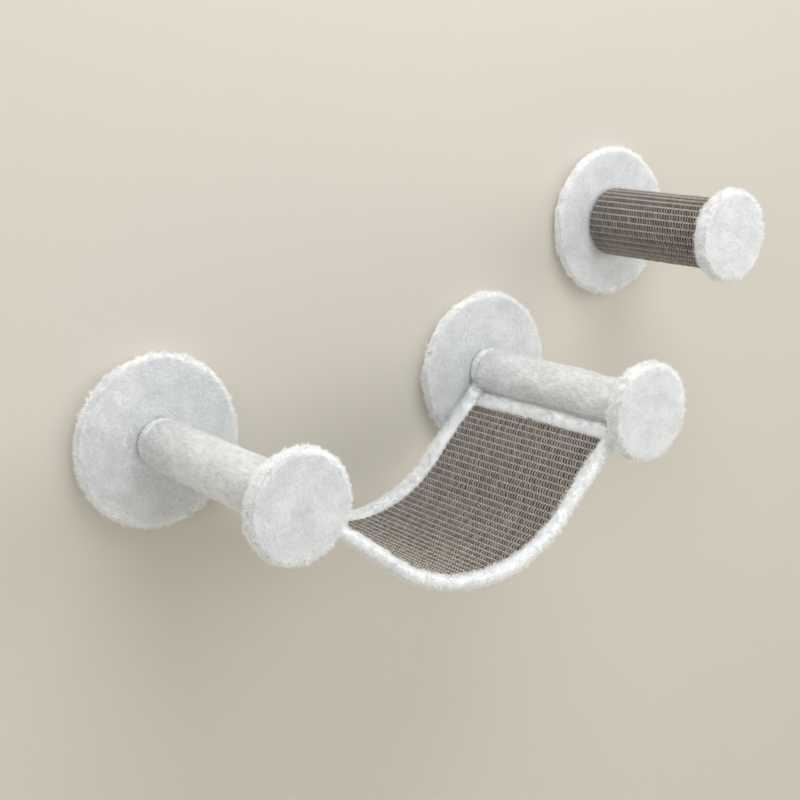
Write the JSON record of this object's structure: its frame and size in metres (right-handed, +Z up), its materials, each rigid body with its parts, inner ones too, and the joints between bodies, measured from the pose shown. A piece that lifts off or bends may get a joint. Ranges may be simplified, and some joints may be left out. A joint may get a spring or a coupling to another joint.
{
  "type": "wall mounted cat tree",
  "caption": "Wall mounted cat tree: a sagging woven sisal hammock with a plush roll edge between padded posts, and a sisal wrapped step post with a plush end disc.",
  "frame": {"origin": "middle of the left wall board's back, on the wall's plane, at the left post's axis", "axes": "+X to the right along the wall, +Y into the wall, +Z up; the tree stands out towards -Y"},
  "size_m": [0.9499, 0.321, 0.4485],
  "materials": {
    "plush": "short white plush pile",
    "sisal": "coarse ribbed woven sisal, grey brown",
    "backing_cloth": "plain white fleece",
    "board": "raw fibreboard",
    "plug_wood": "raw softwood",
    "tube_board": "spiral wound cardboard",
    "steel": "zinc plated steel"
  },
  "bodies": {
    "root": {"wall_boards": "board", "wall_covers": "plush", "post_tube_left": "tube_board", "post_tube_right": "tube_board", "post_tube_step": "tube_board", "tube_plugs": "plug_wood", "post_bolts_left": "steel", "post_bolts_right": "steel", "post_bolts_step": "steel", "end_boards": "board", "end_covers": "plush", "sleeve_left": "plush", "sleeve_right": "plush", "sisal_wrap": "sisal", "sisal_mat": "sisal", "mat_backing": "backing_cloth", "front_roll": "plush", "rear_roll": "plush", "left_roll": "plush", "right_roll": "plush"}
  },
  "joints": []
}
